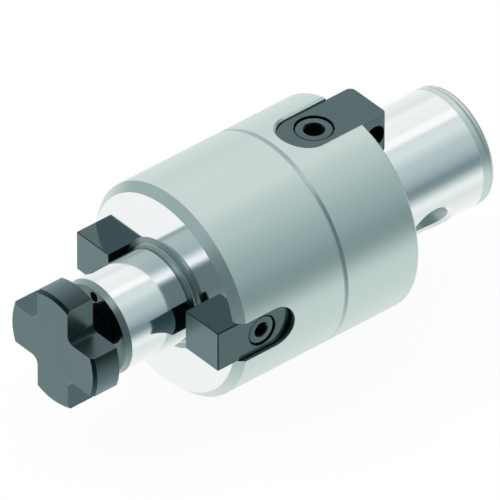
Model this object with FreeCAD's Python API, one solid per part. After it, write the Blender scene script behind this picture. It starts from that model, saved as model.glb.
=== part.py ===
import FreeCAD, Part
import math
import os

"""Shell mill arbor with a cross-slotted retention screw.

Millimetres. +X runs along the tool axis toward the cutter, +Z goes through the
rear drive key, and the origin is the centre of the rear contact face.
"""

# Body
BODY_RADIUS = 25.0
BODY_LENGTH = 50.0
BODY_FRONT_CHAMFER_X = 2.0
BODY_FRONT_CHAMFER_R = 1.85
BODY_REAR_CHAMFER = 0.3
GROOVE_X = 20.0
GROOVE_WIDTH = 0.7
GROOVE_DEPTH = 0.3

# Pilot that locates the cutter
PILOT_RADIUS = 11.0
PILOT_END_X = 69.4
PILOT_CHAMFER_X = 1.35
PILOT_CHAMFER_R = 0.7
PILOT_ROOT_LENGTH = 1.8
PILOT_ROOT_RISE = 1.7
PILOT_ROOT_RADIUS = 1.42

# Spigot that plugs into the next module
SPIGOT_RADIUS = 14.0
SPIGOT_END_X = -30.7
SPIGOT_GROUND_END_X = -27.3
SPIGOT_LEAD_X = -29.5
SPIGOT_LEAD_RADIUS = 13.75
SPIGOT_END_ROUND = 1.2
SPIGOT_ROOT_LENGTH = 2.5
SPIGOT_ROOT_RADIUS = 13.7
SPIGOT_ROOT_TAPER = 0.3
POCKET_X = -13.7
POCKET_DROP_ANGLE = 30.5
POCKET_WALL_ANGLE = 17.0
POCKET_FLOOR_RADIUS = 4.0
POCKET_CONE_START = 8.6
POCKET_FLOOR = 8.0
POCKET_RIM_CHAMFER = 0.8

# Coolant passages
BORE_RADIUS = 4.0
BORE_END_X = 22.0
OUTLET_RADIUS = 1.2
OUTLET_OFFSET = 8.5
OUTLET_SLOPE = 0.092
OUTLET_END_X = 17.0

# Retention screw
THREAD_RADIUS = 4.5
THREAD_CLEARANCE = 0.05
TAPPED_HOLE_END_X = 48.0
TAPPED_MOUTH_CHAMFER = 0.5
SCREW_LENGTH = 20.0
SCREW_LIFT = 4.5
SCREW_TIP_CHAMFER = 0.75
HEAD_RADIUS = 14.0
HEAD_THICKNESS = 7.0
HEAD_CHAMFER = 0.7
HEAD_ARM_HALF = 5.0
HEAD_CORNER_FILLET = 1.8
HEAD_X = PILOT_END_X + SCREW_LIFT

# Front drive keys
FRONT_KEY_HALF = 5.0
FRONT_KEY_SUNK = 1.6
FRONT_KEY_OFF_PILOT = 1.6
FRONT_KEY_TOP = BODY_RADIUS - FRONT_KEY_SUNK
FRONT_KEY_FLOOR = PILOT_RADIUS + FRONT_KEY_OFF_PILOT
FRONT_KEY_PROUD = 4.8
FRONT_KEY_TAIL_CENTRE_X = 39.85
FRONT_SCREW_X = 42.6

# Rear drive key
REAR_KEY_HALF = 6.0
REAR_KEY_SUNK = 1.6
REAR_SLOT_BELOW_SPIGOT = 0.2
REAR_KEY_TOP = BODY_RADIUS - REAR_KEY_SUNK
REAR_KEY_FLOOR = SPIGOT_RADIUS - REAR_SLOT_BELOW_SPIGOT
REAR_KEY_START_X = -7.1
REAR_KEY_TAIL_CENTRE_X = 11.2
REAR_KEY_CORNER_FILLET = 1.5
REAR_KEY_SPIGOT_CLEARANCE = 0.65
REAR_SLOT_RUN_OUT = 3.0
REAR_SLOT_EDGE_BREAK = 0.5
REAR_SCREW_X = 8.4
NOSE_RELIEF_RADIUS = SPIGOT_RADIUS + REAR_KEY_SPIGOT_CLEARANCE
CROSS_HOLE_RADIUS = 2.7
CROSS_HOLE_X = -3.5
CROSS_HOLE_BELOW_MIDDLE = 0.325
CROSS_HOLE_Z = (NOSE_RELIEF_RADIUS + REAR_KEY_TOP) / 2 - CROSS_HOLE_BELOW_MIDDLE

# Key fit and key screws
KEY_SIDE_CLEARANCE = 0.05
KEY_EDGE_CHAMFER = 0.3
SCREW_TOP_SUNK = 0.3
HEAD_SIDE_CLEARANCE = 0.2
M4 = {"head": 3.5, "height": 4.0, "flats": 3.0, "socket": 2.0, "thread": 1.77, "length": 12.0, "hole": 2.25}
M5 = {"head": 4.25, "height": 5.0, "flats": 4.0, "socket": 2.5, "thread": 2.24, "length": 12.0, "hole": 2.75}
KEY_THREAD_CLEARANCE = 0.03
KEY_SCREW_BOTTOM_GAP = 0.5
KEY_SCREW_RIM_CHAMFER = 0.35
KEY_SCREW_TIP_CHAMFER = 0.3

# How far a cutter runs past the surface it opens through, and how near counts as touching
CUT_PAST = 5.0
NEAR = 0.01

ORIGIN = FreeCAD.Vector(0, 0, 0)
X_AXIS = FreeCAD.Vector(1, 0, 0)
Z_AXIS = FreeCAD.Vector(0, 0, 1)
DRILL_POINT_SLOPE = math.tan(math.radians(31.0))


def vec(x, y, z):
    return FreeCAD.Vector(x, y, z)


def cylinder_x(radius, start, end):
    return Part.makeCylinder(radius, end - start, vec(start, 0, 0), X_AXIS)


def cylinder_z(radius, x, bottom, top):
    return Part.makeCylinder(radius, top - bottom, vec(x, 0, bottom), Z_AXIS)


def below_axis(x, radius):
    """Point of a turned profile, drawn below the axis so that the seam stays clear of the pocket."""
    return vec(x, 0, -radius)


def turned(profile):
    """Revolve a profile about the X axis; an item is a point, or an arc's midpoint and end."""
    edges = []
    here = below_axis(*profile[0])
    for item in profile[1:]:
        there = below_axis(*item[-2:])
        if len(item) == 2:
            edges.append(Part.makeLine(here, there))
        else:
            edges.append(Part.Arc(here, below_axis(*item[:2]), there).toShape())
        here = there
    edges.append(Part.makeLine(here, below_axis(*profile[0])))
    return Part.Face(Part.Wire(edges)).revolve(ORIGIN, X_AXIS, 360)


def drilled_x(radius, start, tip_side):
    """Cutter for a blind hole along X with a drill point beyond start, open far past tip_side."""
    depth = radius * DRILL_POINT_SLOPE
    direction = -1.0 if tip_side > start else 1.0
    return turned([(start + direction * depth, 0), (start, radius), (tip_side, radius), (tip_side, 0)])


def drilled_z(radius, x, bottom, top):
    depth = radius * DRILL_POINT_SLOPE
    hole = cylinder_z(radius, x, bottom, top)
    point = Part.makeCone(0, radius, depth, vec(x, 0, bottom - depth), Z_AXIS)
    return hole.fuse(point)


def slot_block(half_width, round_centre_x, end_x, bottom, top):
    """Block with one full-round end about round_centre_x and a square end at end_x."""
    low = min(round_centre_x, end_x)
    length = abs(end_x - round_centre_x)
    bar = Part.makeBox(length, 2 * half_width, top - bottom, vec(low, -half_width, bottom))
    tail = cylinder_z(half_width, round_centre_x, bottom, top)
    return bar.fuse(tail).removeSplitter()


def turn_to_side(shape, side):
    """Turn a shape built toward +Z so that it points to +Y (side 1) or -Y (side -1)."""
    turned_shape = shape.copy()
    turned_shape.rotate(ORIGIN, X_AXIS, -90 * side)
    return turned_shape


def pilot_root_arc():
    """Middle and end of the ground relief that joins the cutter face to the pilot.

    The arc is centred on the 45 degree line off the corner and dips slightly
    below both ground surfaces, so the cutter bore and its face both seat.
    """
    face_point = (BODY_LENGTH, PILOT_RADIUS + PILOT_ROOT_RISE)
    pilot_point = (BODY_LENGTH + PILOT_ROOT_LENGTH, PILOT_RADIUS)
    mid = ((face_point[0] + pilot_point[0]) / 2, (face_point[1] + pilot_point[1]) / 2)
    chord = (pilot_point[0] - face_point[0], pilot_point[1] - face_point[1])
    half = math.hypot(*chord) / 2
    lift = math.sqrt(PILOT_ROOT_RADIUS ** 2 - half ** 2)
    normal = (-chord[1] / (2 * half), chord[0] / (2 * half))
    centre = (mid[0] + normal[0] * lift, mid[1] + normal[1] * lift)
    middle = (centre[0] - normal[0] * PILOT_ROOT_RADIUS, centre[1] - normal[1] * PILOT_ROOT_RADIUS)
    return middle, face_point, pilot_point


def body_profile():
    lead_round = SPIGOT_END_ROUND * (1 - math.cos(math.radians(45)))
    groove_half = GROOVE_WIDTH / 2
    root_middle, root_face, root_pilot = pilot_root_arc()
    return [
        (SPIGOT_END_X, 0),
        (SPIGOT_END_X, SPIGOT_LEAD_RADIUS - SPIGOT_END_ROUND),
        (SPIGOT_END_X + lead_round, SPIGOT_LEAD_RADIUS - lead_round,
         SPIGOT_END_X + SPIGOT_END_ROUND, SPIGOT_LEAD_RADIUS),
        (SPIGOT_GROUND_END_X, SPIGOT_RADIUS),
        (-SPIGOT_ROOT_LENGTH, SPIGOT_RADIUS),
        (-SPIGOT_ROOT_LENGTH + SPIGOT_ROOT_TAPER, SPIGOT_ROOT_RADIUS),
        (0, SPIGOT_ROOT_RADIUS),
        (0, BODY_RADIUS - BODY_REAR_CHAMFER),
        (BODY_REAR_CHAMFER, BODY_RADIUS),
        (GROOVE_X - groove_half, BODY_RADIUS),
        (GROOVE_X, BODY_RADIUS - GROOVE_DEPTH),
        (GROOVE_X + groove_half, BODY_RADIUS),
        (BODY_LENGTH - BODY_FRONT_CHAMFER_X, BODY_RADIUS),
        (BODY_LENGTH, BODY_RADIUS - BODY_FRONT_CHAMFER_R),
        root_face,
        (root_middle[0], root_middle[1], root_pilot[0], root_pilot[1]),
        (PILOT_END_X - PILOT_CHAMFER_X, PILOT_RADIUS),
        (PILOT_END_X, PILOT_RADIUS - PILOT_CHAMFER_R),
        (PILOT_END_X, 0),
    ]


def coolant_outlet(side):
    """Slanted hole from the pilot's front face inward to the central bore."""
    start_x = PILOT_END_X + CUT_PAST
    run = start_x - OUTLET_END_X
    start = vec(start_x, 0, side * (OUTLET_OFFSET + CUT_PAST * OUTLET_SLOPE))
    direction = vec(-1, 0, -side * OUTLET_SLOPE)
    return Part.makeCylinder(OUTLET_RADIUS, run * math.hypot(1, OUTLET_SLOPE), start, direction)


def clamp_pocket():
    """Tapered pocket for the cone point of the clamping screw."""
    drop = math.radians(POCKET_DROP_ANGLE)
    outward = vec(0, math.cos(drop), -math.sin(drop))
    cone_length = SPIGOT_RADIUS + CUT_PAST - POCKET_CONE_START
    outer_radius = POCKET_FLOOR_RADIUS + cone_length * math.tan(math.radians(POCKET_WALL_ANGLE))
    at = vec(POCKET_X, 0, 0)
    cone = Part.makeCone(POCKET_FLOOR_RADIUS, outer_radius, cone_length,
                         at + outward * POCKET_CONE_START, outward)
    floor = Part.makeCylinder(POCKET_FLOOR_RADIUS, POCKET_CONE_START - POCKET_FLOOR,
                              at + outward * POCKET_FLOOR, outward)
    return cone.fuse(floor)


def break_pocket_rim(body):
    """Chamfer the curved edge where the pocket opens through the spigot's outside diameter."""

    def at_rim(edge):
        if edge.Degenerated or edge.BoundBox.XLength < POCKET_FLOOR_RADIUS:
            return False
        points = edge.discretize(7)
        return all(p.y > NEAR and abs(math.hypot(p.y, p.z) - SPIGOT_RADIUS) < NEAR for p in points)

    return body.makeChamfer(POCKET_RIM_CHAMFER, [edge for edge in body.Edges if at_rim(edge)])


def front_key_recess():
    slot = slot_block(FRONT_KEY_HALF + KEY_SIDE_CLEARANCE, FRONT_KEY_TAIL_CENTRE_X,
                      BODY_LENGTH + CUT_PAST, FRONT_KEY_FLOOR, BODY_RADIUS + CUT_PAST)
    return slot.fuse(tapped_hole_below(FRONT_SCREW_X, FRONT_KEY_FLOOR, screw_end(FRONT_KEY_TOP, M4), M4))


def rear_key_recess():
    return slot_block(REAR_KEY_HALF + KEY_SIDE_CLEARANCE, REAR_KEY_TAIL_CENTRE_X,
                      -REAR_SLOT_RUN_OUT, REAR_KEY_FLOOR, BODY_RADIUS + CUT_PAST)


def seat_height(key_top, screw):
    return key_top - SCREW_TOP_SUNK - screw["height"]


def screw_end(key_top, screw):
    return seat_height(key_top, screw) - screw["length"]


def tapped_hole_below(x, floor, end, screw):
    radius = screw["thread"] + KEY_THREAD_CLEARANCE
    return drilled_z(radius, x, end - KEY_SCREW_BOTTOM_GAP, floor + CUT_PAST)


def screw_hole_cutter(x, key_top, screw):
    top = key_top + CUT_PAST
    clearance = cylinder_z(screw["hole"], x, 0, top)
    counterbore = cylinder_z(screw["head"] + HEAD_SIDE_CLEARANCE, x, seat_height(key_top, screw), top)
    return clearance.fuse(counterbore)


def break_rear_slot_edges(body):
    """Chamfer the edges where the rear slot opens through the body's outside diameter."""
    half_width = REAR_KEY_HALF + KEY_SIDE_CLEARANCE + NEAR
    reach = REAR_KEY_TAIL_CENTRE_X + half_width

    def at_slot_mouth(edge):
        box = edge.BoundBox
        beside_slot = max(abs(box.YMin), abs(box.YMax)) < half_width
        above_key = box.ZMin > REAR_KEY_TOP and box.XMax < reach
        across_body = box.XLength < REAR_SLOT_EDGE_BREAK
        if edge.Degenerated or across_body or not (beside_slot and above_key):
            return False
        points = edge.discretize(7)
        return all(abs(math.hypot(p.y, p.z) - BODY_RADIUS) < NEAR for p in points)

    picked = [edge for edge in body.Edges if at_slot_mouth(edge)]
    return body.makeChamfer(REAR_SLOT_EDGE_BREAK, picked)


def tapped_hole_mouth(radius):
    """Cone that breaks the mouth of the tapped hole at 45 degrees."""
    start = PILOT_END_X - TAPPED_MOUTH_CHAMFER
    end = PILOT_END_X + CUT_PAST
    return turned([(start, 0), (start, radius), (end, radius + end - start), (end, 0)])


def arbor_body():
    body = turned(body_profile())
    tapped = THREAD_RADIUS + THREAD_CLEARANCE
    body = body.cut(drilled_x(tapped, TAPPED_HOLE_END_X, PILOT_END_X + CUT_PAST))
    body = body.cut(tapped_hole_mouth(tapped))
    body = body.cut(drilled_x(BORE_RADIUS, BORE_END_X, SPIGOT_END_X - CUT_PAST))
    for side in (1, -1):
        body = body.cut(coolant_outlet(side))
    body = break_pocket_rim(body.cut(clamp_pocket()))
    body = body.cut(rear_key_recess())
    body = break_rear_slot_edges(body)
    body = body.cut(tapped_hole_below(REAR_SCREW_X, REAR_KEY_FLOOR, screw_end(REAR_KEY_TOP, M5), M5))
    for side in (1, -1):
        body = body.cut(turn_to_side(front_key_recess(), side))
    return body


def chamfered(shape, size, wanted):
    return shape.makeChamfer(size, [edge for edge in shape.Edges if wanted(edge.BoundBox)])


def front_drive_key():
    """Built toward +Z: round tail in the body, square nose proud of the cutter face."""
    nose_x = BODY_LENGTH + FRONT_KEY_PROUD
    key = slot_block(FRONT_KEY_HALF, FRONT_KEY_TAIL_CENTRE_X, nose_x, FRONT_KEY_FLOOR, FRONT_KEY_TOP)

    def nose_or_top(box):
        on_top = box.ZMin > FRONT_KEY_TOP - NEAR
        on_nose = box.XMin > nose_x - NEAR
        return on_top or on_nose

    key = chamfered(key, KEY_EDGE_CHAMFER, nose_or_top)
    return key.cut(screw_hole_cutter(FRONT_SCREW_X, FRONT_KEY_TOP, M4))


def rear_drive_key():
    """Round tail in the body, nose standing behind the contact face over the spigot."""
    key = slot_block(REAR_KEY_HALF, REAR_KEY_TAIL_CENTRE_X, REAR_KEY_START_X, REAR_KEY_FLOOR, REAR_KEY_TOP)
    uprights = [edge for edge in key.Edges
                if edge.BoundBox.XMax < REAR_KEY_START_X + NEAR and edge.BoundBox.YLength < NEAR]
    key = key.makeFillet(REAR_KEY_CORNER_FILLET, uprights)
    key = chamfered(key, KEY_EDGE_CHAMFER, lambda box: box.ZMin > REAR_KEY_TOP - NEAR)
    key = key.cut(cylinder_x(NOSE_RELIEF_RADIUS, REAR_KEY_START_X - CUT_PAST, 0))
    half_span = REAR_KEY_HALF + CUT_PAST
    cross_hole = Part.makeCylinder(CROSS_HOLE_RADIUS, 2 * half_span,
                                   vec(CROSS_HOLE_X, -half_span, CROSS_HOLE_Z), vec(0, 1, 0))
    key = key.cut(cross_hole)
    return key.cut(screw_hole_cutter(REAR_SCREW_X, REAR_KEY_TOP, M5))


def key_screw(x, key_top, screw):
    """Socket head cap screw standing on the key's counterbore, built toward +Z."""
    seat = seat_height(key_top, screw)
    top = seat + screw["height"]
    end = screw_end(key_top, screw)
    head = cylinder_z(screw["head"], x, seat, top)
    head = chamfered(head, KEY_SCREW_RIM_CHAMFER, lambda box: box.ZMin > top - NEAR)
    shank = cylinder_z(screw["thread"], x, end, top - screw["socket"])
    shank = chamfered(shank, KEY_SCREW_TIP_CHAMFER, lambda box: box.ZMax < end + NEAR)
    corner = screw["flats"] / math.sqrt(3.0)
    points = [vec(x + corner * math.cos(math.radians(60 * i)), corner * math.sin(math.radians(60 * i)),
                  top - screw["socket"]) for i in range(7)]
    socket = Part.Face(Part.makePolygon(points)).extrude(vec(0, 0, screw["socket"] + CUT_PAST))
    return head.fuse(shank).cut(socket)


def retention_screw_shank():
    """Threaded shank at its pitch radius; it rides screw_advance."""
    tip = HEAD_X - SCREW_LENGTH
    return turned([(tip, 0), (tip, THREAD_RADIUS - SCREW_TIP_CHAMFER), (tip + SCREW_TIP_CHAMFER, THREAD_RADIUS),
                   (HEAD_X, THREAD_RADIUS), (HEAD_X, 0)])


def retention_screw_head():
    """Disc with four wrench notches, leaving a cross; it rides screw_turn on the shank."""
    front = HEAD_X + HEAD_THICKNESS
    disc = turned([(HEAD_X, 0), (HEAD_X, HEAD_RADIUS), (front - HEAD_CHAMFER, HEAD_RADIUS),
                   (front, HEAD_RADIUS - HEAD_CHAMFER), (front, 0)])
    reach = HEAD_RADIUS + CUT_PAST
    for quarter in range(4):
        notch = Part.makeBox(HEAD_THICKNESS + 2 * CUT_PAST, reach, reach,
                             vec(HEAD_X - CUT_PAST, HEAD_ARM_HALF, HEAD_ARM_HALF))
        corner = [edge for edge in notch.Edges
                  if edge.BoundBox.YMax < HEAD_ARM_HALF + NEAR and edge.BoundBox.ZMax < HEAD_ARM_HALF + NEAR]
        notch = notch.makeFillet(HEAD_CORNER_FILLET, corner)
        notch.rotate(ORIGIN, X_AXIS, 90 * quarter)
        disc = disc.cut(notch)
    return disc


def build():
    front_key = front_drive_key()
    front_screw = key_screw(FRONT_SCREW_X, FRONT_KEY_TOP, M4)
    return {
        "arbor_body": arbor_body(),
        "front_drive_key_right": turn_to_side(front_key, 1),
        "front_drive_key_left": turn_to_side(front_key, -1),
        "front_key_screw_right": turn_to_side(front_screw, 1),
        "front_key_screw_left": turn_to_side(front_screw, -1),
        "rear_drive_key": rear_drive_key(),
        "rear_key_screw": key_screw(REAR_SCREW_X, REAR_KEY_TOP, M5),
        "retention_screw_shank": retention_screw_shank(),
        "retention_screw_head": retention_screw_head(),
    }


os.makedirs("parts", exist_ok=True)
for node, shape in build().items():
    if not shape.isValid() or len(shape.Solids) != 1:
        raise ValueError(f"{node}: {len(shape.Solids)} solids, valid {shape.isValid()}")
    shape.exportStep(f"parts/{node}.step")
    box = shape.BoundBox
    print(f"{node}: volume {shape.Volume:.1f} X {box.XMin:.2f}..{box.XMax:.2f} "
          f"Y {box.YMin:.2f}..{box.YMax:.2f} Z {box.ZMin:.2f}..{box.ZMax:.2f}")
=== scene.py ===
"""Shell mill arbor with bolted drive keys and a cross-slotted retention screw.

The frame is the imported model's: +X runs along the tool axis toward the cutter, +Z goes
through the rear drive key, and the origin is the centre of the rear contact face.
Sizes are in millimetres; every mesh is written in metres.
"""

import math

import bpy
import numpy as np
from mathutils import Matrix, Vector


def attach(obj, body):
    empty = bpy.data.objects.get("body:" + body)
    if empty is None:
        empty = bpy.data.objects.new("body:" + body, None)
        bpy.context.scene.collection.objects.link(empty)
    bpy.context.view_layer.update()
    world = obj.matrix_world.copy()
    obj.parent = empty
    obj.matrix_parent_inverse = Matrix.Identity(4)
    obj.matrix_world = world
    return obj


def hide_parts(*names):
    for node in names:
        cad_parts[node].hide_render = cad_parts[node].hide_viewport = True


MM = 0.001

# Turned body, pilot and spigot
BODY_R = 24.999
BODY_FRONT = 50.0
FRONT_CHAMFER = (2.0, 1.85)
REAR_EDGE = 0.5
GROOVE = {"x": 20.48, "half": 0.58, "depth": 0.38}
PILOT_R = 11.0
PILOT_END = 69.4
PILOT_CHAMFER = (1.35, 0.7)
PILOT_ROOT = {"length": 2.05, "slope_end": 1.6, "centre_x": 1.25, "radius": 0.9, "degrees": (195, 270),
              "bottom_r": 10.78, "outer_r": 12.87}
SPIGOT_R = 14.0
SPIGOT_END = -30.7
SPIGOT_LEAD = {"ground_end": -27.3, "step": 0.1, "r": 13.95, "dip_start": -28.75,
               "rim_centre": (-29.75, 12.95), "rim_radius": 0.95, "rim_degrees": (180, 66)}
SPIGOT_ROOT = {"length": 2.5, "taper": 0.3, "r": 13.7}
PROFILE_ARC_STEPS = 22
POCKET = {"x": -13.7, "drop": 30.5, "wall": 17.0, "floor_r": 4.0, "cone_from": 8.6, "floor": 8.0, "rim": 0.8}
BORE = {"r": 4.0, "end": 22.0, "break": 0.5}
OUTLET = {"r": 1.2, "offset": 8.5, "slope": 0.092, "end": 17.0}
TAPPED = {"r": 5.0, "end": 48.0, "break": 0.5}
DRILL_SLOPE = math.tan(math.radians(31.0))

# Keys, their slots and their screws
SIDE_GAP = 0.012
FRONT_KEY = {"half": 5.0, "floor": 12.6, "top": 23.4, "tail_x": 39.85, "nose_x": 54.8,
             "corner": 0.22, "edge": 0.22, "screw_x": 42.6}
REAR_KEY = {"half": 6.0, "floor": 13.8, "top": 23.4, "tail_x": 11.2, "nose_x": -7.1,
            "corner": 1.5, "edge": 0.04, "screw_x": 8.4}
REAR_SLOT_END = -4.0
REAR_SLOT_BREAK = 0.5
FRONT_SLOT_END = BODY_FRONT + 6.0
FRONT_SLOT_BREAK = 0.04
MOUTH_REACH = 3.5
NOSE_RELIEF_R = 14.65
CROSS_HOLE = {"r": 2.7, "x": -3.5, "z": 18.7}
SCREW_SUNK = 0.3
HEAD_GAP = 0.14
HOLE_BREAK = 0.12
TAPPED_GAP = {"beside": 0.03, "below": 0.5, "above": 0.4}
CAP_HEAD = {"rim": 0.45, "under": 0.15, "tip": 0.4}
SOCKET_DRILL = {"share": 0.98, "start": 0.01, "end": 0.4, "point": 0.5}
SHADOWED = {"below": 0.13, "depth": 3.0}
M4 = {"head": 3.5, "height": 4.0, "flats": 3.0, "socket": 2.0, "thread": 1.77, "length": 12.0, "hole": 2.25}
M5 = {"head": 4.25, "height": 5.0, "flats": 4.0, "socket": 2.5, "thread": 2.24, "length": 12.0, "hole": 2.75}

# Retention screw. As shares of the pitch, crest_half is flat beside the crest's middle and flank is its slope.
HEAD = {"x": 73.9, "r": 14.0, "thick": 7.0, "chamfer": 0.7, "back_edge": 0.25, "arm": 5.0, "fillet": 1.8}
THREAD = {"pitch": 1.5, "crest": 4.93, "root": 4.06, "length": 20.0, "neck": 0.9, "tip": 0.9,
          "crest_half": 0.07, "flank": 0.33}

# How far a cutter runs past the surface that it opens through
PAST = 1.0
OUTLET_PAST = 2.0
NOTCH_PAST = 4.0
NOSE_CUT = 12.0

SEGMENTS = 240
HEAD_SEGMENTS = 360
FINE_SEGMENTS = 96
HOLE_SEGMENTS = 48
CLEARANCE_SEGMENTS = 64
THREAD_ROWS = 24
SHARP_DEGREES = 5.2
HEAD_SHARP_DEGREES = 12
KEY_SHARP_DEGREES = 24
LEAST_CORNER = 0.01


def arc(centre, radius, start, end, steps):
    """Points on a circle from one angle in degrees to another, both included."""
    angle = np.radians(np.linspace(start, end, steps + 1))
    return np.stack([centre[0] + radius * np.cos(angle), centre[1] + radius * np.sin(angle)], -1)


def joined(*parts):
    """One (n, 2) array from points and arrays of points, with repeated neighbours dropped."""
    points = np.concatenate([np.atleast_2d(np.asarray(part, float)) for part in parts])
    step = np.linalg.norm(np.diff(points, axis=0), axis=1)
    return points[np.r_[True, step > 1e-6]]


def make_mesh(name, points_mm, faces):
    """Object from points in millimetres and faces, with its normals turned outwards."""
    mesh = bpy.data.meshes.new(name)
    mesh.from_pydata((np.asarray(points_mm, float) * MM).tolist(), [], faces)
    mesh.update()
    obj = bpy.data.objects.new(name, mesh)
    bpy.context.scene.collection.objects.link(obj)
    outward(obj)
    return obj


def outward(obj):
    """Flip the whole closed mesh if its signed volume is negative."""
    mesh = obj.data
    mesh.calc_loop_triangles()
    corner = np.zeros(len(mesh.loop_triangles) * 3, np.int32)
    mesh.loop_triangles.foreach_get("vertices", corner)
    place = np.zeros(len(mesh.vertices) * 3)
    mesh.vertices.foreach_get("co", place)
    a, b, c = np.moveaxis(place.reshape(-1, 3)[corner.reshape(-1, 3)], 1, 0)
    if np.einsum("ij,ij->i", a, np.cross(b, c)).sum() < 0:
        mesh.flip_normals()


def ring_faces(rings, columns):
    """Quads between closed rings of a (rings, columns) grid, and one cap at each end."""
    row, column = np.meshgrid(np.arange(rings - 1), np.arange(columns), indexing="ij")
    nxt = (column + 1) % columns
    quads = np.stack([row * columns + column, row * columns + nxt,
                      (row + 1) * columns + nxt, (row + 1) * columns + column], -1).reshape(-1, 4)
    last = (rings - 1) * columns
    caps = [list(range(columns))[::-1], list(range(last, last + columns))]
    return quads.tolist() + caps


def lofted(name, rings):
    """Closed surface through a (rings, columns, 3) array of closed loops, capped at both ends."""
    rings = np.asarray(rings, float)
    return make_mesh(name, rings.reshape(-1, 3), ring_faces(*rings.shape[:2]))


def turned(name, profile, segments=SEGMENTS):
    """Revolve (x, r) points about the X axis: y = r cos t, z = r sin t. Both ends lie on the axis."""
    profile = np.asarray(profile, float)
    angle = np.arange(segments) * 2 * np.pi / segments
    body = profile[1:-1]
    x = np.broadcast_to(body[:, :1], (len(body), segments))
    rings = np.stack([x, body[:, 1:] * np.cos(angle), body[:, 1:] * np.sin(angle)], -1)
    count = len(body) * segments
    column = np.arange(segments)
    nxt = (column + 1) % segments
    last = count - segments
    fans = [np.stack([np.full(segments, count), nxt, column], -1),
            np.stack([np.full(segments, count + 1), last + column, last + nxt], -1)]
    faces = ring_faces(len(body), segments)[:-2] + np.concatenate(fans).tolist()
    poles = [[profile[0, 0], 0, 0], [profile[-1, 0], 0, 0]]
    return make_mesh(name, np.concatenate([rings.reshape(-1, 3), poles]), faces)


def move_points(obj, matrix, offset=(0, 0, 0)):
    """Turn and shift the mesh itself, in millimetres, so that the object stays at the origin."""
    place = np.zeros(len(obj.data.vertices) * 3)
    obj.data.vertices.foreach_get("co", place)
    place = place.reshape(-1, 3) @ np.asarray(matrix, float).T + np.asarray(offset, float) * MM
    obj.data.vertices.foreach_set("co", place.ravel())
    obj.data.update()
    outward(obj)
    return obj


def frame_from(direction):
    """Rotation that carries +X onto the given direction."""
    a = np.asarray(direction, float) / np.linalg.norm(direction)
    b = np.cross(a, [1.0, 0, 0] if abs(a[0]) < 0.9 else [0, 1.0, 0])
    b /= np.linalg.norm(b)
    return np.stack([a, b, np.cross(a, b)], -1)


TO_SIDE = {1: np.array([[1, 0, 0], [0, 0, 1], [0, -1, 0]]), -1: np.array([[1, 0, 0], [0, 0, -1], [0, 1, 0]])}


def rod(name, radius, start, end, direction, at=(0, 0, 0), tip=0.0, segments=FINE_SEGMENTS):
    """Cylinder along a direction from start to end, with a cone of the given length before start."""
    profile = joined((start - tip, 0), (start, radius), (end, radius), (end, 0))
    return move_points(turned(name, profile, segments), frame_from(direction), at)


def apply_modifiers(obj):
    """Replace the mesh by its evaluated one and clear the modifiers."""
    graph = bpy.context.evaluated_depsgraph_get()
    mesh = bpy.data.meshes.new_from_object(obj.evaluated_get(graph))
    obj.modifiers.clear()
    old = obj.data
    obj.data = mesh
    bpy.data.meshes.remove(old)
    mesh.name = obj.name


def carve(obj, cutters):
    """Subtract each cutter and remove it."""
    for cutter in cutters:
        step = obj.modifiers.new("carve", "BOOLEAN")
        step.operation = "DIFFERENCE"
        step.solver = "EXACT"
        step.object = cutter
        bpy.context.view_layer.update()
        apply_modifiers(obj)
        bpy.data.objects.remove(cutter)
    return obj


def crisp(obj, degrees=SHARP_DEGREES):
    """Shade smooth, with edges sharper than the angle kept, and normals weighted by face area."""
    mesh = obj.data
    mesh.shade_smooth()
    mesh.set_sharp_from_angle(angle=math.radians(degrees))
    weighted = obj.modifiers.new("weighted", "WEIGHTED_NORMAL")
    weighted.mode = "FACE_AREA"
    weighted.weight = 80
    weighted.keep_sharp = True
    apply_modifiers(obj)
    return obj


def tongue(half, tail_x, nose_x, grow=0.0, corner=0.0, steps=48, corner_steps=8):
    """Key plan as a closed loop: a full-round tail about tail_x, straight sides and a square nose.

    The half width and the nose grow by one amount. The nose's corners are quarter circles of corner + grow.
    """
    away = math.copysign(1.0, tail_x - nose_x)
    width = half + grow
    tail = arc((0, 0), width, -90, 90, steps) * [away, 1] + [tail_x, 0]
    end = nose_x - away * grow
    turn = max(corner + grow, 0.0)
    if turn > 1e-6:
        first = arc((0, 0), turn, 90, 180, corner_steps) * [away, 1] + [end + away * turn, width - turn]
        second = arc((0, 0), turn, 180, 270, corner_steps) * [away, 1] + [end + away * turn, turn - width]
    else:
        first, second = [end, width], [end, -width]
    return joined(tail, first, second)


def at_height(loop, height):
    """Loop in the plan at a height that is a number or one value per point."""
    return np.column_stack([loop, np.broadcast_to(height, len(loop))])


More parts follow.
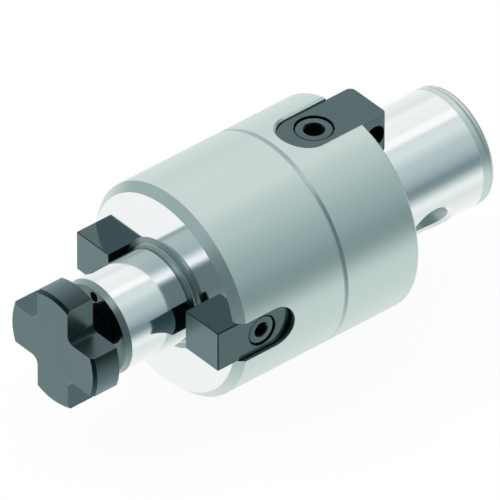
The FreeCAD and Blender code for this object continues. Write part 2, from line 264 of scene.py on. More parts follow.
def body_profile():
    """The turned outline, from the coolant bore's drill point round to the tapped hole's."""
    lead = SPIGOT_LEAD
    root = PILOT_ROOT
    fillet_centre = (BODY_FRONT + root["centre_x"], root["bottom_r"] + root["radius"])
    return joined(
        (BORE["end"] + BORE["r"] * DRILL_SLOPE, 0), (BORE["end"], BORE["r"]),
        (SPIGOT_END + BORE["break"], BORE["r"]), (SPIGOT_END, BORE["r"] + BORE["break"]),
        arc(lead["rim_centre"], lead["rim_radius"], *lead["rim_degrees"], PROFILE_ARC_STEPS),
        (lead["dip_start"], lead["r"]), (lead["ground_end"] - lead["step"], lead["r"]),
        (lead["ground_end"], SPIGOT_R),
        (-SPIGOT_ROOT["length"], SPIGOT_R),
        (SPIGOT_ROOT["taper"] - SPIGOT_ROOT["length"], SPIGOT_ROOT["r"]), (0, SPIGOT_ROOT["r"]),
        (0, BODY_R - REAR_EDGE), (REAR_EDGE, BODY_R),
        (GROOVE["x"] - GROOVE["half"], BODY_R), (GROOVE["x"], BODY_R - GROOVE["depth"]),
        (GROOVE["x"] + GROOVE["half"], BODY_R),
        (BODY_FRONT - FRONT_CHAMFER[0], BODY_R), (BODY_FRONT, BODY_R - FRONT_CHAMFER[1]),
        (BODY_FRONT, root["outer_r"]),
        arc(fillet_centre, root["radius"], *root["degrees"], PROFILE_ARC_STEPS),
        (BODY_FRONT + root["slope_end"], root["bottom_r"]), (BODY_FRONT + root["length"], PILOT_R),
        (PILOT_END - PILOT_CHAMFER[0], PILOT_R), (PILOT_END, PILOT_R - PILOT_CHAMFER[1]),
        (PILOT_END, TAPPED["r"] + TAPPED["break"]), (PILOT_END - TAPPED["break"], TAPPED["r"]),
        (TAPPED["end"], TAPPED["r"]), (TAPPED["end"] - TAPPED["r"] * DRILL_SLOPE, 0),
    )


def broken_mouth(half, tail_x, nose_x, edge):
    """Slot mouth that opens at 45 degrees along the curved outside.

    Its height is sqrt(R^2 - y^2) - edge + growth, for no growth and for the growth of MOUTH_REACH.
    """
    loops = [(tongue(half, tail_x, nose_x, grow=grow, corner=-grow), grow) for grow in (0.0, MOUTH_REACH)]
    return [at_height(loop, np.sqrt(BODY_R ** 2 - loop[:, 1] ** 2) - edge + grow) for loop, grow in loops]


def slot_cutter(name, key, end_x, edge):
    """Loft from the slot's floor up to its broken mouth, one side gap wider than the key."""
    plan = (key["half"] + SIDE_GAP, key["tail_x"], end_x)
    return lofted(name, [at_height(tongue(*plan), key["floor"]), *broken_mouth(*plan, edge)])


def front_slot_cutter(side):
    """The front slot, turned from +Z to its side."""
    slot = slot_cutter("front_slot", FRONT_KEY, FRONT_SLOT_END, FRONT_SLOT_BREAK)
    return move_points(slot, TO_SIDE[side])


def head_top(key):
    """Height of a key screw's head: the key's top less the depth that the head is sunk."""
    return key["top"] - SCREW_SUNK


def seat_of(key, screw):
    """Height under a key screw's head: the top of the head less its height."""
    return head_top(key) - screw["height"]


def screw_bottom(key, screw):
    """Height of a key screw's tip: its seat less its length."""
    return seat_of(key, screw) - screw["length"]


def tapped_below(key, screw, matrix):
    """Blind hole under a key's slot: a cylinder round the screw's thread with a drill point below its tip."""
    low = screw_bottom(key, screw) - TAPPED_GAP["below"]
    hole = rod("tapped", screw["thread"] + TAPPED_GAP["beside"], low, key["floor"] + TAPPED_GAP["above"],
               (0, 0, 1), (key["screw_x"], 0, 0), tip=screw["thread"] * DRILL_SLOPE, segments=HOLE_SEGMENTS)
    return move_points(hole, matrix)


def pocket_cutter():
    """Tapered pocket square to the spigot's skin, with a chamfered rim that follows the skin.

    The wall's radius is floor_r + (h - cone_from) tan(wall), and the skin's height is h = sqrt(R^2 - s^2)
    at a distance s across the axis. Their meeting edge is found by repeating the two formulas. The chamfer
    then runs from one rim width down the wall to one rim width out along the skin, and on past it.
    """
    rounds, stretch = 12, 3.0
    drop, wall = math.radians(POCKET["drop"]), math.radians(POCKET["wall"])
    angle = np.arange(FINE_SEGMENTS) * 2 * np.pi / FINE_SEGMENTS
    spread = np.stack([np.cos(angle), np.sin(angle)], -1)
    edge = np.full(FINE_SEGMENTS, POCKET["floor_r"])
    for _ in range(rounds):
        height = np.sqrt(SPIGOT_R ** 2 - (edge * spread[:, 1]) ** 2)
        edge = POCKET["floor_r"] + (height - POCKET["cone_from"]) * math.tan(wall)
    foot = np.stack([edge - POCKET["rim"] * math.sin(wall), height - POCKET["rim"] * math.cos(wall)], -1)
    fall = edge * spread[:, 1] ** 2 / height
    wide = edge + POCKET["rim"] / np.sqrt(1 + fall ** 2)
    lip = np.stack([wide, np.sqrt(SPIGOT_R ** 2 - (wide * spread[:, 1]) ** 2)], -1)
    past = foot + (lip - foot) * stretch
    rings = [at_height(spread * POCKET["floor_r"], h) for h in (POCKET["floor"], POCKET["cone_from"])]
    rings += [at_height(spread * r[:, None], h) for r, h in (foot.T, past.T)]
    sine, cosine = math.sin(drop), math.cos(drop)
    below_y = np.array([[1, 0, 0], [0, -sine, cosine], [0, -cosine, -sine]])
    return move_points(lofted("pocket", rings), below_y, (POCKET["x"], 0, 0))


def outlet_cutter(side):
    """Slanted coolant hole: it starts past the pilot's end and nears the axis by slope per millimetre."""
    start = PILOT_END + OUTLET_PAST
    run = (start - OUTLET["end"]) * math.hypot(1, OUTLET["slope"])
    at = (start, 0, side * (OUTLET["offset"] + OUTLET_PAST * OUTLET["slope"]))
    return rod("outlet", OUTLET["r"], 0, run, (-1, 0, -side * OUTLET["slope"]), at, segments=HOLE_SEGMENTS)


def arbor_body():
    """The turned body with its slots, tapped holes, pocket and coolant outlets carved."""
    body = turned("arbor_body_ground", body_profile())
    rear_slot = slot_cutter("rear_slot", REAR_KEY, REAR_SLOT_END, REAR_SLOT_BREAK)
    cutters = [rear_slot, tapped_below(REAR_KEY, M5, np.eye(3)), pocket_cutter()]
    for side in (1, -1):
        cutters += [front_slot_cutter(side), tapped_below(FRONT_KEY, M4, TO_SIDE[side]), outlet_cutter(side)]
    return carve(body, cutters)


def key_blank(name, key):
    """Loft of the key's plan with its rim broken at 45 degrees at the top and at the bottom."""
    plan = (key["half"], key["tail_x"], key["nose_x"])
    full = tongue(*plan, corner=key["corner"])
    edge = key["edge"]
    small = tongue(*plan, grow=-edge, corner=max(key["corner"], edge + LEAST_CORNER))
    return lofted(name, [at_height(small, key["floor"]), at_height(full, key["floor"] + edge),
                         at_height(full, key["top"] - edge), at_height(small, key["top"])])


def screw_hole_cutters(key, screw):
    """Clearance hole, and a counterbore one head gap wider than the head with a 45 degree mouth."""
    at = (key["screw_x"], 0, 0)
    seat, high = seat_of(key, screw), key["top"] + PAST
    radius = screw["head"] + HEAD_GAP
    mouth = joined((seat, 0), (seat, radius), (key["top"] - HOLE_BREAK, radius),
                   (high, radius + PAST + HOLE_BREAK), (high, 0))
    return [rod("clearance", screw["hole"], 0, high, (0, 0, 1), at, segments=CLEARANCE_SEGMENTS),
            move_points(turned("counterbore", mouth, FINE_SEGMENTS), frame_from((0, 0, 1)), at)]


def front_drive_key(name, side):
    """Key blank less its screw's holes, turned from +Z to its side."""
    key = carve(key_blank(name, FRONT_KEY), screw_hole_cutters(FRONT_KEY, M4))
    return move_points(key, TO_SIDE[side])


def rear_drive_key(name):
    """Key blank less a cylinder about the spigot's axis, a cross hole along Y and its screw's holes."""
    relief = rod("relief", NOSE_RELIEF_R, -NOSE_CUT, 0, (1, 0, 0), segments=SEGMENTS)
    cross = rod("cross_hole", CROSS_HOLE["r"], -NOSE_CUT, NOSE_CUT, (0, 1, 0),
                (CROSS_HOLE["x"], 0, CROSS_HOLE["z"]))
    return carve(key_blank(name, REAR_KEY), [relief, cross] + screw_hole_cutters(REAR_KEY, M5))


def cap_screw(name, key, screw, matrix):
    """Socket head cap screw: a turned outline with a rounded rim, less a hexagon socket with a drilled floor.

    The hexagon's corners lie at flats / sqrt(3) from the screw's axis.
    """
    seat, bottom, top = seat_of(key, screw), screw_bottom(key, screw), head_top(key)
    at = (key["screw_x"], 0, 0)
    up = frame_from((0, 0, 1))
    rim, under, tip = CAP_HEAD["rim"], CAP_HEAD["under"], CAP_HEAD["tip"]
    profile = joined((bottom, 0), (bottom, screw["thread"] - tip), (bottom + tip, screw["thread"]),
                     (seat, screw["thread"]), (seat, screw["head"] - under), (seat + under, screw["head"]),
                     arc((top - rim, screw["head"] - rim), rim, 90, 0, 10), (top, 0))
    head = move_points(turned(name, profile, FINE_SEGMENTS), up, at)
    corner = screw["flats"] / math.sqrt(3)
    angle = np.radians(np.arange(6) * 60)
    hexagon = np.stack([corner * np.cos(angle) + key["screw_x"], corner * np.sin(angle)], -1)
    depth = top - screw["socket"]
    drill = screw["flats"] / 2
    drill_end = depth + SOCKET_DRILL["end"]
    lip = joined((top - HOLE_BREAK - corner, 0), (top + PAST, corner + PAST + HOLE_BREAK), (top + PAST, 0))
    cutters = [
        lofted("socket", [at_height(hexagon, depth), at_height(hexagon, top + PAST)]),
        rod("socket_floor", drill * SOCKET_DRILL["share"], depth + SOCKET_DRILL["start"], drill_end,
            (0, 0, 1), at, tip=drill * SOCKET_DRILL["point"], segments=HOLE_SEGMENTS),
        move_points(turned("lip", lip, FINE_SEGMENTS), up, at),
    ]
    return move_points(carve(head, cutters), matrix)


def retention_head(name):
    """Disc with broken rims, less four notches: quarter planes from the arm outwards with a round corner."""
    back, front = HEAD["x"], HEAD["x"] + HEAD["thick"]
    profile = joined((back, 0), (back, HEAD["r"] - HEAD["back_edge"]), (back + HEAD["back_edge"], HEAD["r"]),
                     (front - HEAD["chamfer"], HEAD["r"]), (front, HEAD["r"] - HEAD["chamfer"]), (front, 0))
    head = turned(name, profile, HEAD_SEGMENTS)
    low, high = HEAD["arm"], HEAD["r"] + NOTCH_PAST
    corner = arc((low + HEAD["fillet"], low + HEAD["fillet"]), HEAD["fillet"], 270, 180, 20)
    loop = joined((high, low), corner, (low, high), (high, high))
    cutters = []
    for quarter in range(4):
        turn = math.radians(90 * quarter)
        spun = loop @ np.array([[math.cos(turn), math.sin(turn)], [-math.sin(turn), math.cos(turn)]])
        rings = [np.column_stack([np.full(len(spun), x), spun]) for x in (back - PAST, front + PAST)]
        cutters.append(lofted("notch", rings))
    return carve(head, cutters)


def retention_thread(name):
    """Right-hand thread: its radius follows the phase x / pitch - t / 2 pi from crest over flank to root.

    It fades to a neck of the root's radius under the head, and a 45 degree chamfer cuts it at the tip.
    """
    end, start = HEAD["x"], HEAD["x"] - THREAD["length"]
    rows = int(THREAD["length"] / THREAD["pitch"] * THREAD_ROWS)
    x = np.linspace(start, end, rows + 1)[:, None]
    angle = (np.arange(FINE_SEGMENTS) * 2 * np.pi / FINE_SEGMENTS)[None]
    phase = (x / THREAD["pitch"] - angle / (2 * np.pi)) % 1.0
    flank = np.clip((np.abs(phase - 0.5) - THREAD["crest_half"]) / THREAD["flank"], 0, 1)
    radius = THREAD["crest"] + (THREAD["root"] - THREAD["crest"]) * flank
    half_neck = 0.5 * THREAD["neck"]
    fade = np.clip((end - x - half_neck) / half_neck, 0, 1)
    radius = THREAD["root"] + (radius - THREAD["root"]) * fade
    radius = np.minimum(radius, THREAD["crest"] - THREAD["tip"] + (x - start))
    rings = np.stack([np.broadcast_to(x, radius.shape), radius * np.cos(angle), radius * np.sin(angle)], -1)
    return lofted(name, rings)


class Value:
    """A shader socket that Python arithmetic can be written on; each operation adds a Math node."""

    def __init__(self, shader, socket):
        self.shader = shader
        self.socket = socket

    def _math(self, operation, *inputs, clamp=False):
        """One Math node on the inputs in their order."""
        return self.shader.node("Math", dict(enumerate(inputs)), operation=operation, use_clamp=clamp)

    def __add__(self, other):
        return self._math("ADD", self, other)

    def __sub__(self, other):
        return self._math("SUBTRACT", self, other)

    def __rsub__(self, other):
        return self._math("SUBTRACT", other, self)

    def __mul__(self, other):
        return self._math("MULTIPLY", self, other)

    def __truediv__(self, other):
        return self._math("DIVIDE", self, other)

    def power(self, other):
        """The value raised to the other."""
        return self._math("POWER", self, other)

    def at_least(self, other):
        """The greater of the two at each place."""
        return self._math("MAXIMUM", self, other)

    def clamped(self):
        """The value held between 0 and 1."""
        return self._math("ADD", self, 0.0, clamp=True)

    __radd__ = __add__
    __rmul__ = __mul__


class Shader:
    """A node tree with one method that adds any node."""

    def __init__(self, tree):
        self.tree = tree
        tree.nodes.clear()

    def node(self, kind, inputs=None, out=0, stops=None, **settings):
        """Add a node, with its settings and ramp stops first and then its sockets' values or links."""
        made = self.tree.nodes.new("ShaderNode" + kind)
        for key, value in settings.items():
            setattr(made, key, value)
        if stops:
            while len(made.color_ramp.elements) > 1:
                made.color_ramp.elements.remove(made.color_ramp.elements[-1])
            for i, (place, colour) in enumerate(stops):
                element = made.color_ramp.elements[0] if i == 0 else made.color_ramp.elements.new(place)
                element.position = place
                element.color = (*colour, 1.0)
        for key, value in (inputs or {}).items():
            if isinstance(value, Value):
                self.tree.links.new(value.socket, made.inputs[key])
            else:
                made.inputs[key].default_value = value
        return Value(self, made.outputs[out]) if made.outputs else None


def new_material(name):
    """Empty node material and the shader that fills it."""
    material = bpy.data.materials.new(name)
    material.use_nodes = True
    return material, Shader(material.node_tree)


def axes(s, vector):
    """The x, y and z of a vector, as three values."""
    return [Value(s, socket) for socket in s.node("SeparateXYZ", {0: vector}).socket.node.outputs]


def mixed(s, factor, first, second, **settings):
    """Colour that goes from the first to the second as the factor goes from 0 to 1."""
    return s.node("Mix", {"Factor": factor, 6: first, 7: second}, out=2, data_type="RGBA", **settings)


def eased(s, value, start, end):
    """Smooth step: 0 where the value is at start, 1 where it is at end."""
    return s.node("MapRange", {"Value": value, "From Min": start, "From Max": end},
                  interpolation_type="SMOOTHSTEP")


def noise(s, place, scale, detail, roughness):
    """Fractal noise about one half."""
    return s.node("TexNoise", {"Vector": place, "Scale": scale, "Detail": detail, "Roughness": roughness})


def axis_distance(s, place):
    """Distance from the tool axis in the object's coordinates: sqrt(y^2 + z^2)."""
    _, y, z = axes(s, place)
    return (y * y + z * z).power(0.5)


def metal_output(s, base, rough, grain, depth):
    """Metal of the given colour and roughness, with a bump of the grain times the depth in metres."""
    bump = s.node("Bump", {"Height": grain, "Strength": 1.0, "Distance": depth})
    surface = s.node("BsdfPrincipled", {"Base Color": base, "Roughness": rough, "Metallic": 1.0,
                                        "Normal": bump})
    s.node("OutputMaterial", {"Surface": surface})


# Machined steel: how much the cloudiness and the tool marks shade it and how far its colour then swings,
# the cloudiness's share of the swing in roughness, the marks' scale round the axis, and the near-black
# painted shade on a slot's wall beside its key.
MOTTLING = 0.06
MARK_SHADE = 0.06
SHADE_SWING = 0.07
CLOUD_SWING = 0.6
MARK_STRETCH = 40.0
PAINTED_SLOT_SHADE = (0.02, 0.028, 0.03, 1)


def machined(name, colour, roughness, marks, depth, lay="turned", swing=0.05, painted_shade_span=None):
    """Bare machined steel: noise drawn out round the axis as tool marks, and a faint cloudiness.

    marks is the scale of the tool marks per metre, and depth that of their bump in metres. The marks follow
    x on turned skin, and the distance from the axis on a turned face. The last argument gives two distances
    from the axis in millimetres, between which a slot's wall goes from painted shade beside its key to bare
    steel.
    """
    material, s = new_material(name)
    place = s.node("TexCoord", out="Object")
    if lay == "faced":
        across = s.node("CombineXYZ", {0: axis_distance(s, place) * marks, 1: 0.0, 2: 0.0})
    else:
        across = s.node("Mapping", {"Vector": place, "Scale": (marks, MARK_STRETCH, MARK_STRETCH)})
    grain = noise(s, across, 1.0, 3.0, 0.6)
    cloud = noise(s, place, 90.0, 3.0, 0.5)
    shade = (cloud - 0.5) * MOTTLING + (grain - 0.5) * MARK_SHADE
    darker = tuple(c * (1 - SHADE_SWING) for c in colour) + (1,)
    lighter = tuple(min(c * (1 + SHADE_SWING), 1) for c in colour) + (1,)
    base = mixed(s, (shade + 0.5).clamped(), darker, lighter)
    # Painted shade: a slot's wall is near-black beside its key and turns bare toward the mouth.
    if painted_shade_span:
        unshaded = eased(s, axis_distance(s, place), painted_shade_span[0] * MM, painted_shade_span[1] * MM)
        base = mixed(s, unshaded, PAINTED_SLOT_SHADE, base)
    rough = (grain - 0.5) * swing + (cloud - 0.5) * (swing * CLOUD_SWING) + roughness
    metal_output(s, base, rough, grain, depth)
    return material


# Gloss of blackened steel: rise (1 - cos) - drop, and never below least, times the finish's own strength
OXIDE_GLOSS = {"rise": 0.57, "drop": 0.062, "least": 0.03, "gain": 1.05, "cloud": 0.12}
OXIDE_COLOUR = (0.66, 0.955, 1.0, 1)
OXIDE_ROUGHNESS = {"cloud": 0.05, "grain": 0.06}
OXIDE_BUMP = 0.0000012


def black_oxide(name, roughness, strength):
    """Blackened steel, whose gloss grows toward a grazing view as OXIDE_GLOSS says.

    A faint cloudiness varies the gloss, and a fine grain the roughness.
    """
    material, s = new_material(name)
    place = s.node("TexCoord", out="Object")
    cloud = noise(s, place, 160.0, 4.0, 0.55)
    grain = noise(s, place, 2600.0, 2.0, 0.6)
    facing = s.node("LayerWeight", {"Blend": 0.5}, out="Facing")
    gloss = (facing * OXIDE_GLOSS["rise"] - OXIDE_GLOSS["drop"]).at_least(OXIDE_GLOSS["least"])
    gloss = gloss * ((cloud - 0.5) * OXIDE_GLOSS["cloud"] + 1.0) * (OXIDE_GLOSS["gain"] * strength)
    base = mixed(s, gloss.clamped(), (0, 0, 0, 1), OXIDE_COLOUR)
    rough = (cloud - 0.5) * OXIDE_ROUGHNESS["cloud"] + (grain - 0.5) * OXIDE_ROUGHNESS["grain"] + roughness
    metal_output(s, base, rough, grain, OXIDE_BUMP)
    return material


def painted_shadow_black(name):
    """Nearly black matt skin as painted shadow, for sockets, undersides and threads that little light reaches.
    """
    material, s = new_material(name)
    cloud = noise(s, s.node("TexCoord", out="Object"), 400.0, 3.0, 0.5)
    base = mixed(s, cloud, (0.001, 0.002, 0.004, 1), (0.003, 0.005, 0.008, 1))
    surface = s.node("BsdfPrincipled", {"Base Color": base, "Roughness": 0.65, "Metallic": 0.0,
                                        "Specular IOR Level": 0.06})
    s.node("OutputMaterial", {"Surface": surface})
    return material


def polygon_table(mesh):
    """Centres in millimetres and normals of all faces."""
    centre = np.zeros(len(mesh.polygons) * 3)
    normal = np.zeros(len(mesh.polygons) * 3)
    mesh.polygons.foreach_get("center", centre)
    mesh.polygons.foreach_get("normal", normal)
    return centre.reshape(-1, 3) / MM, normal.reshape(-1, 3)


SLOT_COLOUR = (0.50, 0.56, 0.55)
SATIN_COLOUR = (0.69, 0.78, 0.755)
# Duller turned edge steel; on the pilot's root relief its darkness is also painted shade.
EDGE_AND_SHADE_COLOUR = (0.37, 0.44, 0.435)
POCKET_COLOUR = (0.62, 0.70, 0.69)
POLISH_COLOUR = (0.93, 0.965, 0.96)


def body_finishes():
    """The body's materials by the surface that each is for, in the order of their slots."""
    return {
        # The milled slots' walls and the rear slot's walls carry painted shade beside their keys.
        "milled": machined("milled_slot_steel", SLOT_COLOUR, 0.3, 900.0, 2e-6, painted_shade_span=(23.7, 24.9)),
        "satin": machined("satin_ground_skin", SATIN_COLOUR, 0.34, 5200.0, 1.2e-6),
        "edge": machined("turned_edge_steel_and_shade", EDGE_AND_SHADE_COLOUR, 0.3, 5200.0, 1.2e-6),
        "bright": machined("polished_skin", POLISH_COLOUR, 0.085, 6500.0, 0.25e-6, swing=0.03),
        "face": machined("polished_face", POLISH_COLOUR, 0.07, 6500.0, 0.2e-6, lay="faced", swing=0.03),
        "drilled": painted_shadow_black("drilled_shadow"),
        "pocket": machined("milled_pocket_steel", POCKET_COLOUR, 0.45, 900.0, 2e-6),
        "rear_slot": machined("rear_slot_steel", SLOT_COLOUR, 0.3, 900.0, 2e-6, painted_shade_span=(22.9, 24.3)),
    }


# Limits that tell the body's surfaces apart: by the part of a face's normal that points along x, away from
# the axis or out of the pocket, and by the distance from the axis or along it.
FACING = {"end": 0.99, "out": 0.2, "steep": 0.5, "pocket": 0.45}
NEAR_FACE = 0.1
SKIN_DEPTH = 0.35
SLOT_MOUTH_Z = 22.0
CHAMFER_FROM_R = 20.0
PILOT_WITHIN_R = 13.0
PILOT_END_FROM_R = 10.0
RELIEF_BELOW_PILOT = 0.8
RELIEF_HIGHLIGHT_BAND = {"from_r": 11.15, "to_r": 11.9, "length": 1.2}
SPIGOT_FROM_R = 12.3
FACE_FROM_R = {"front": 5.0, "rear": 4.0}
DRILLED_WITHIN_R = {"ahead": 9.5, "bore": 4.6}
POCKET_ZONE = {"across": 6.6, "height": 7.0, "below_skin": 0.02, "ahead_of": -5.0, "floor_across": 4.3}


def finish_by_place(body):
    """Give each face of the body the finish of the surface that it lies on.

    r is a face's distance from the axis, and radial the part of its normal that points away from the axis.
    A later line overrules an earlier one.
    """
    finishes = body_finishes()
    for material in finishes.values():
        body.data.materials.append(material)
    milled, satin, edge, bright, face, drilled, pocket, rear_slot = range(len(finishes))
    centre, normal = polygon_table(body.data)
    x, z = centre[:, 0], centre[:, 2]
    r = np.hypot(centre[:, 1], z)
    radial = (normal[:, 1:] * centre[:, 1:]).sum(1) / np.maximum(r, 1e-6)
    end_on = np.abs(normal[:, 0]) > FACING["end"]
    turned_out = (radial > FACING["out"]) & ~end_on
    steep_out = radial > FACING["steep"]
    ahead = x > BODY_FRONT
    kind = np.where((x < REAR_KEY["tail_x"] + 1) & (z > REAR_KEY["floor"]), rear_slot, milled)
    kind[(np.abs(r - BODY_R) < SKIN_DEPTH) & steep_out & (x > 0)] = satin
    kind[(kind == rear_slot) & (normal[:, 2] > FACING["steep"]) & (z > SLOT_MOUTH_Z)] = satin
    kind[(x > BODY_FRONT - FRONT_CHAMFER[0]) & steep_out & (r > CHAMFER_FROM_R)] = satin
    kind[(x > 0) & (x < REAR_EDGE) & steep_out & (normal[:, 0] < -FACING["steep"])] = satin
    kind[ahead & (r < PILOT_WITHIN_R) & turned_out] = bright
    in_relief = ahead & (x < BODY_FRONT + PILOT_ROOT["length"]) & (r < PILOT_WITHIN_R) & ~end_on
    # Painted shade: the root relief groove takes the dark edge colour.
    kind[in_relief & (r > PILOT_R - RELIEF_BELOW_PILOT)] = edge
    # Painted highlight: a band along the relief's ridge takes the lighter satin colour.
    on_highlight_band = (r > RELIEF_HIGHLIGHT_BAND["from_r"]) & (r < RELIEF_HIGHLIGHT_BAND["to_r"])
    kind[ahead & on_highlight_band & (x < BODY_FRONT + RELIEF_HIGHLIGHT_BAND["length"])] = satin
    kind[(x > PILOT_END - PILOT_CHAMFER[0]) & (r > PILOT_END_FROM_R) & turned_out] = edge
    kind[(x < 0) & (r > SPIGOT_FROM_R) & turned_out] = bright
    kind[(x < SPIGOT_LEAD["ground_end"]) & (r > SPIGOT_FROM_R) & turned_out] = satin
    kind[end_on & (x > BODY_FRONT - NEAR_FACE) & (r > FACE_FROM_R["front"])] = face
    kind[end_on & (x < NEAR_FACE) & (r > FACE_FROM_R["rear"])] = face
    # Painted shadow: bores, the tapped hole and the outlets' walls that face the axis take the near-black
    # material.
    kind[(r < DRILLED_WITHIN_R["ahead"]) & (radial < 0) & (x > 0)] = drilled
    kind[(r < DRILLED_WITHIN_R["bore"]) & (radial < 0)] = drilled
    drop = math.radians(POCKET["drop"])
    axis = np.array([0.0, math.cos(drop), -math.sin(drop)])
    across = np.hypot(x - POCKET["x"], centre[:, 1] * math.sin(drop) + z * math.cos(drop))
    in_pocket = (across < POCKET_ZONE["across"]) & (centre @ axis > POCKET_ZONE["height"])
    in_pocket &= (r < SPIGOT_R - POCKET_ZONE["below_skin"]) & (x < POCKET_ZONE["ahead_of"])
    kind[in_pocket] = pocket
    kind[in_pocket & (across > POCKET_ZONE["floor_across"]) & (normal @ axis > FACING["pocket"])] = bright
    body.data.polygons.foreach_set("material_index", kind.astype(np.int32))


def second_finish(obj, material, chosen):
    """Add a second material and give it to the faces for which the mask is true."""
    obj.data.materials.append(material)
    obj.data.polygons.foreach_set("material_index", chosen.astype(np.int32))


def inside_socket(obj, key, screw, matrix):
    """Mask of the faces in the hexagon socket, painted near-black as shadow: near the screw's own axis and
    below the top of its head.
    """
    local = polygon_table(obj.data)[0] @ np.asarray(matrix, float)
    across = np.hypot(local[:, 0] - key["screw_x"], local[:, 1])
    below = head_top(key) - local[:, 2]
    within = across < screw["flats"] / math.sqrt(3)
    return within & (below > SHADOWED["below"]) & (below < SHADOWED["depth"])


def dress(obj, body, slot, *nodes):
    """Let a piece ride on its body and stand for its CAD nodes, which it hides.

    slot is not used.
    """
    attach(obj, body)
    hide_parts(*nodes)
    return obj


def build_pieces():
    """Make, shade and finish every piece, and dress it for the frame."""
    body = arbor_body()
    crisp(body)
    finish_by_place(body)
    dress(body, "arbor", "ground_steel", "arbor_body")
    key_black = black_oxide("key_black_oxide", roughness=0.15, strength=0.93)
    screw_black = black_oxide("cap_screw_black_oxide", roughness=0.2, strength=0.95)
    retention_black = black_oxide("retention_screw_black_oxide", roughness=0.3, strength=0.92)
    shadow = painted_shadow_black("shadowed_black")
    for name, side in (("right", 1), ("left", -1)):
        key = crisp(front_drive_key("front_key_" + name, side), KEY_SHARP_DEGREES)
        key.data.materials.append(key_black)
        # Painted shadow: the key's underside over the pilot and its lower chamfer take the near-black
        # material.
        height = polygon_table(key.data)[0][:, 1] * side
        second_finish(key, shadow, height < FRONT_KEY["floor"] + FRONT_KEY["edge"])
        dress(key, "arbor", "black_oxide_key", "front_drive_key_" + name)
        screw = crisp(cap_screw("front_cap_screw_" + name, FRONT_KEY, M4, TO_SIDE[side]))
        screw.data.materials.append(screw_black)
        second_finish(screw, shadow, inside_socket(screw, FRONT_KEY, M4, TO_SIDE[side]))
        dress(screw, "arbor", "black_oxide_screw", "front_key_screw_" + name)
    rear = crisp(rear_drive_key("rear_key"), KEY_SHARP_DEGREES)
    rear.data.materials.append(key_black)
    dress(rear, "arbor", "black_oxide_key", "rear_drive_key")
    rear_screw = crisp(cap_screw("rear_cap_screw", REAR_KEY, M5, np.eye(3)))
    rear_screw.data.materials.append(screw_black)
    second_finish(rear_screw, shadow, inside_socket(rear_screw, REAR_KEY, M5, np.eye(3)))
    dress(rear_screw, "arbor", "black_oxide_screw", "rear_key_screw")
    thread = crisp(retention_thread("retention_thread"), KEY_SHARP_DEGREES)
    # Painted shadow: the whole thread takes the near-black material.
    thread.data.materials.append(shadow)
    dress(thread, "screw_head", "black_oxide_retention_screw", "retention_screw_shank")
    head = crisp(retention_head("retention_head"), HEAD_SHARP_DEGREES)
    head.data.materials.append(retention_black)
    dress(head, "screw_head", "black_oxide_retention_screw", "retention_screw_head")


# Studio: the sky and floor that the metal mirrors, as tones by the angle in degrees about the tool axis.
# Angle 0 looks along +Y and 90 looks up; 180 looks along -Y.
MIRROR_TONES = [
    (-180, (0.86, 0.90, 0.89)), (-140, (1.00, 1.00, 1.00)), (-100, (0.93, 0.93, 0.93)),
    (-70, (0.81, 0.86, 0.84)), (-52, (0.76, 0.81, 0.80)), (-36, (0.86, 0.91, 0.90)),
    (-29, (0.82, 0.88, 0.87)), (-9, (0.24, 0.32, 0.33)), (1, (0.19, 0.26, 0.28)),
    (14, (0.33, 0.41, 0.43)), (30, (0.44, 0.53, 0.555)), (45, (0.475, 0.575, 0.585)),
    (66, (0.70, 0.78, 0.785)), (84, (0.70, 0.755, 0.75)), (90, (1.00, 1.00, 1.00)),
    (100, (1.02, 1.02, 1.03)), (107, (0.89, 0.885, 0.90)), (140, (0.92, 0.94, 0.945)),
    (155, (0.79, 0.80, 0.81)), (168, (0.84, 0.865, 0.87)), (180, (0.86, 0.90, 0.89)),
]
# The same for what lies ahead of the arbor, seen by the chamfer, the front face and the sides of the keys.
AHEAD_TONES = [
    (-180, (0.30, 0.38, 0.38)), (-166, (0.40, 0.46, 0.47)), (-150, (0.94, 0.95, 0.96)),
    (-100, (0.90, 0.92, 0.92)), (-83, (0.74, 0.79, 0.79)), (-70, (0.60, 0.67, 0.67)),
    (-20, (0.17, 0.24, 0.26)), (0, (0.13, 0.18, 0.195)), (55, (0.13, 0.19, 0.20)),
    (60, (0.16, 0.215, 0.23)), (66, (0.38, 0.44, 0.47)), (72, (0.86, 0.90, 0.93)),
    (78, (0.96, 1.00, 1.03)), (84, (0.88, 0.93, 0.97)), (91, (0.66, 0.72, 0.76)),
    (98, (0.47, 0.545, 0.575)), (104, (0.39, 0.47, 0.49)), (150, (0.45, 0.535, 0.555)),
    (168, (0.44, 0.52, 0.52)), (180, (0.30, 0.38, 0.38)),
]
STEEP_CAP = (0.37, 0.45, 0.47, 1)
BEHIND_TONE = (0.20, 0.27, 0.26, 1)
PLAIN_TONE = (0.92, 0.94, 0.94, 1)
WHITE = (1, 1, 1, 1)
# Where each part of the studio sets in and where it is full, along the direction that it goes by. The far
# side goes by z - FAR_LEAN y, and dims what lies beyond by FAR_DIM at most.
STUDIO_LIMITS = {
    "ahead": (-0.12, 0.24), "behind": (-0.62, -0.80), "upper": (-0.05, 0.3),
    "beyond": (-0.57, -0.66), "far_side": (0.12, 0.36), "steep": (0.56, 0.76),
}
FAR_LEAN = 1.15
FAR_DIM = 0.45


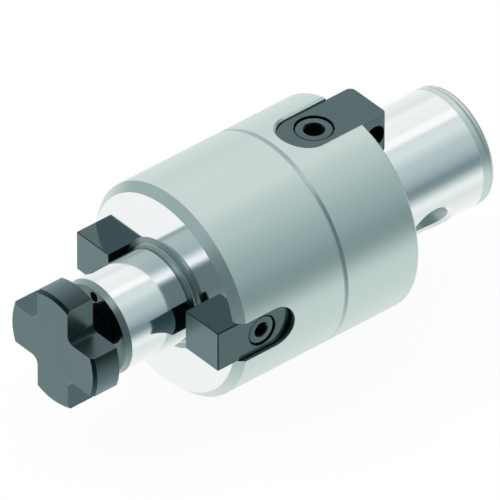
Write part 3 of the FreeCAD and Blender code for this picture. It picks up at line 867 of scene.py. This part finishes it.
def studio_world():
    """White for the camera, plain light for diffuse rays, and the toned studio for mirrored rays.

    The tones go by the angle atan2(z, y) of the ray: one table ahead of the arbor and one round it, darkened
    straight ahead and toward the rear.
    """
    world = bpy.data.worlds.new("studio")
    bpy.context.scene.world = world
    world.use_nodes = True
    s = Shader(world.node_tree)
    x, y, z = axes(s, s.node("TexCoord", out="Generated"))
    place = s.node("Math", {0: z, 1: y}, operation="ARCTAN2") / (2 * math.pi) + 0.5
    around, front = (s.node("ValToRGB", {"Fac": place}, stops=[((t + 180) / 360, tone) for t, tone in table])
                     for table in (MIRROR_TONES, AHEAD_TONES))
    far_side = z - y * FAR_LEAN
    measures = {"ahead": x, "behind": x, "upper": y + z, "beyond": x, "far_side": far_side, "steep": x}
    share = {name: eased(s, measures[name], *limits) for name, limits in STUDIO_LIMITS.items()}
    low_front = mixed(s, share["steep"], front, STEEP_CAP, blend_type="DARKEN")
    toned = mixed(s, share["ahead"], around, low_front)
    far_dim = share["beyond"] * share["far_side"] * FAR_DIM
    dimmed = mixed(s, (share["behind"] * share["upper"]).at_least(far_dim), toned, BEHIND_TONE)
    lit = mixed(s, s.node("LightPath", out="Is Glossy Ray"), PLAIN_TONE, dimmed)
    seen = mixed(s, s.node("LightPath", out="Is Camera Ray"), lit, WHITE)
    back = s.node("Background", {"Color": seen, "Strength": 1.0})
    s.node("OutputWorld", {"Surface": back})


FLOOR = {"half": 2.5, "below": 0.3, "glow": 0.93, "colour": (0.93, 0.94, 0.94, 1)}


def studio_floor():
    """White table just under the body; the camera sees it nearly white, with a soft shadow."""
    half, level = FLOOR["half"], -(BODY_R + FLOOR["below"]) * MM
    mesh = bpy.data.meshes.new("studio_floor")
    mesh.from_pydata([(-half, -half, level), (half, -half, level), (half, half, level), (-half, half, level)],
                     [], [(0, 1, 2, 3)])
    floor = bpy.data.objects.new("studio_floor", mesh)
    bpy.context.scene.collection.objects.link(floor)
    material, s = new_material("white_table")
    cloth = s.node("BsdfDiffuse", {"Color": FLOOR["colour"]})
    glow = s.node("Emission", {"Color": WHITE, "Strength": 1.0})
    camera = s.node("LightPath", out="Is Camera Ray")
    s.node("OutputMaterial", {"Surface": s.node("MixShader", {0: camera * FLOOR["glow"], 1: cloth, 2: glow})})
    mesh.materials.append(material)
    floor.visible_glossy = False


def lamp(name, place, size, power):
    """Square area lamp at a place in metres, turned toward the origin and not seen in reflections."""
    light = bpy.data.lights.new(name, "AREA")
    light.size = size
    light.energy = power
    obj = bpy.data.objects.new(name, light)
    obj.location = place
    obj.rotation_mode = "QUATERNION"
    obj.rotation_quaternion = (-Vector(place)).to_track_quat("-Z", "Y")
    obj.visible_glossy = False
    bpy.context.scene.collection.objects.link(obj)


# Camera: a very long lens, which sees the arbor almost without perspective.
CAMERA_AIM = (26.158, -0.034, -0.475)
CAMERA_TOWARD = (0.51143, 0.60546, 0.6098)
FRAME_WIDTH = 106.42
LENS = 1600.0
SENSOR = 36.0
CLIP = (1.0, 40.0)


def studio_camera():
    """Camera on the line through the aim, at the distance width x lens / sensor that frames the width."""
    data = bpy.data.cameras.new("camera")
    data.lens = LENS
    data.sensor_width = SENSOR
    distance = FRAME_WIDTH * LENS / SENSOR
    camera = bpy.data.objects.new("camera", data)
    toward = Vector(CAMERA_TOWARD).normalized()
    camera.location = (Vector(CAMERA_AIM) + toward * distance) * MM
    camera.rotation_mode = "QUATERNION"
    camera.rotation_quaternion = (-toward).to_track_quat("-Z", "Y")
    data.clip_start, data.clip_end = CLIP
    bpy.context.scene.collection.objects.link(camera)
    bpy.context.scene.camera = camera


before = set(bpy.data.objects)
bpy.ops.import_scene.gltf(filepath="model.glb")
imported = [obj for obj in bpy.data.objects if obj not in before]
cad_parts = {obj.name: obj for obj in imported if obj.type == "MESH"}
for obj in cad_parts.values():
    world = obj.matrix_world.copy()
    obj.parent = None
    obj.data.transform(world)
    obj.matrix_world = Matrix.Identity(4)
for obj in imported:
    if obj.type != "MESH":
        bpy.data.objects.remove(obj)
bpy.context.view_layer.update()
build_pieces()
studio_world()
studio_floor()
lamp("key_lamp", place=(0.3, -0.5, 0.9), size=0.6, power=3.0)
studio_camera()
bpy.context.scene.view_settings.view_transform = "Standard"
